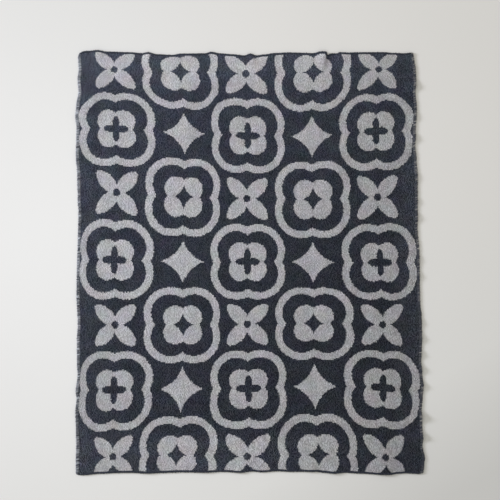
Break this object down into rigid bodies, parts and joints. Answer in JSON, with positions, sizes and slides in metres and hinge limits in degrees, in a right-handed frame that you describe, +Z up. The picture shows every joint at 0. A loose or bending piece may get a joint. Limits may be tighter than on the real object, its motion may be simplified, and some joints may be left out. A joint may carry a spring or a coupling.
{
  "type": "jacquard fleece throw",
  "caption": "Knitted two-colour fleece throw laid out flat, with overlocked edges, small pleats along its head and fluted sides.",
  "frame": {"origin": "middle of the throw's footprint, on the surface it lies on", "axes": "+X across the throw to its right-hand side, +Y along it to its head, +Z up out of its face"},
  "size_m": [1.2975, 1.5783, 0.0167],
  "materials": {
    "fleece": "plush two-colour jacquard knit, slate ground with pale grey tile motifs, matt"
  },
  "bodies": {
    "root": {"throw": "fleece"}
  },
  "joints": []
}
